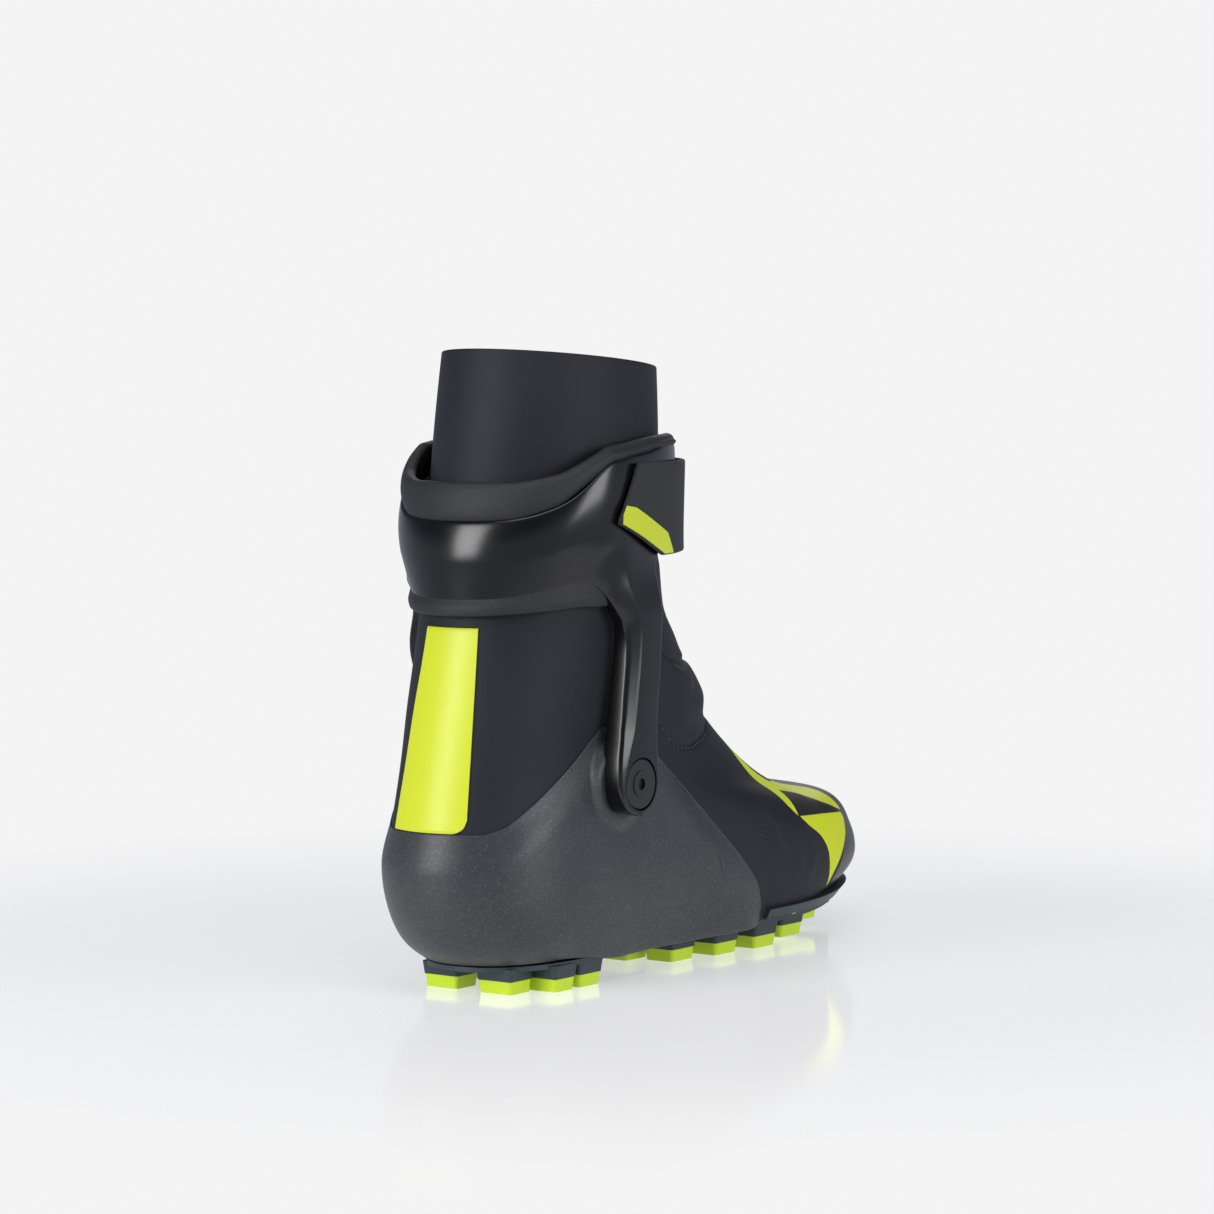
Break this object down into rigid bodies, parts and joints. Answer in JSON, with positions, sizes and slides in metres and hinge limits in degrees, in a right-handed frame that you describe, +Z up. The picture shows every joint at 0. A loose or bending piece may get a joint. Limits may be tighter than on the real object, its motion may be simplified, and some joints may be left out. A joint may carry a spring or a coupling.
{
  "type": "cross country boot",
  "caption": "Skating-style cross country boot with a carbon heel frame, a hinged ankle cuff with a power strap, a soft gaiter, a zipped instep and a lugged sole with a toe bar.",
  "frame": {"origin": "on the floor, under the middle of the boot's outline seen from above", "axes": "+X from heel to toe, +Y to the inner side of the foot, +Z up; this is a right boot"},
  "size_m": [0.2952, 0.1028, 0.247],
  "materials": {
    "softshell": "matte softshell",
    "stretch_fabric": "matte stretch knit",
    "liner_foam": "brushed fleece",
    "carbon_frame": "satin with fine flecks",
    "cuff_plastic": "gloss",
    "collar_foam": "fine speckled foam",
    "board": "matte fibre board",
    "footbed_foam": "brushed",
    "webbing": "woven",
    "neon": "satin film",
    "toe_gloss": "gloss film",
    "outsole_rubber": "matte rubber",
    "tip_rubber": "matte rubber",
    "steel": "brushed",
    "dark_steel": "blackened",
    "bushing_polymer": "satin",
    "lace_cord": "braided",
    "lock_plastic": "satin"
  },
  "bodies": {
    "boot": {"upper": "softshell", "instep_stretch_panel": "stretch_fabric", "inner_boot": "liner_foam", "heel_padding": "liner_foam", "lasting_board": "board", "footbed": "footbed_foam", "tongue": "liner_foam", "lace_eyestays": "webbing", "quick_lace": "lace_cord", "lace_lock": "lock_plastic", "toe_cap": "toe_gloss", "heel_label": "neon", "heel_frame": "carbon_frame", "pivot_bushings": "bushing_polymer", "pivot_washers": "cuff_plastic", "pivot_nuts": "dark_steel", "pivot_screws": "dark_steel", "forefoot_plate": "carbon_frame", "outsole": "outsole_rubber", "toe_bar": "steel", "heel_lug_tips": "tip_rubber", "forefoot_lug_tips": "tip_rubber", "zip_tape": "webbing", "zip_chain": "lock_plastic"},
    "cuff": {"ankle_gaiter": "softshell", "shaft_lining": "liner_foam", "cuff_shell": "cuff_plastic", "cuff_lining": "collar_foam", "cuff_collar_pad": "collar_foam", "strap_loop_patch": "webbing", "strap_anchor_plate": "cuff_plastic", "strap_anchor_rivets": "dark_steel"},
    "strap": {"power_strap": "webbing", "strap_hook_patch": "webbing", "strap_trim": "neon"},
    "zip_slider_body": {"zip_slider": "dark_steel"},
    "zip_pull_body": {"zip_pull": "dark_steel"}
  },
  "joints": [
    {"name": "cuff_pivot", "type": "hinge", "parent": "boot", "child": "cuff", "pos_m": [-0.07, 0, 0.079], "axis": [0, 1, 0], "range_deg": [-5, 15]},
    {"name": "strap_opening", "type": "hinge", "parent": "cuff", "child": "strap", "pos_m": [-0.062, 0.04879, 0.1855], "axis": [0, 0, 1], "range_deg": [0, 100]},
    {"name": "zip_slide", "type": "slide", "parent": "boot", "child": "zip_slider_body", "axis": [0.907, 0, -0.4212], "range_m": [0, 0.038]},
    {"name": "zip_pull_hinge", "type": "hinge", "parent": "zip_slider_body", "child": "zip_pull_body", "pos_m": [0.04844, 0.01632, 0.08617], "axis": [0.1239, -0.9557, 0.2668], "range_deg": [0, 120]}
  ]
}
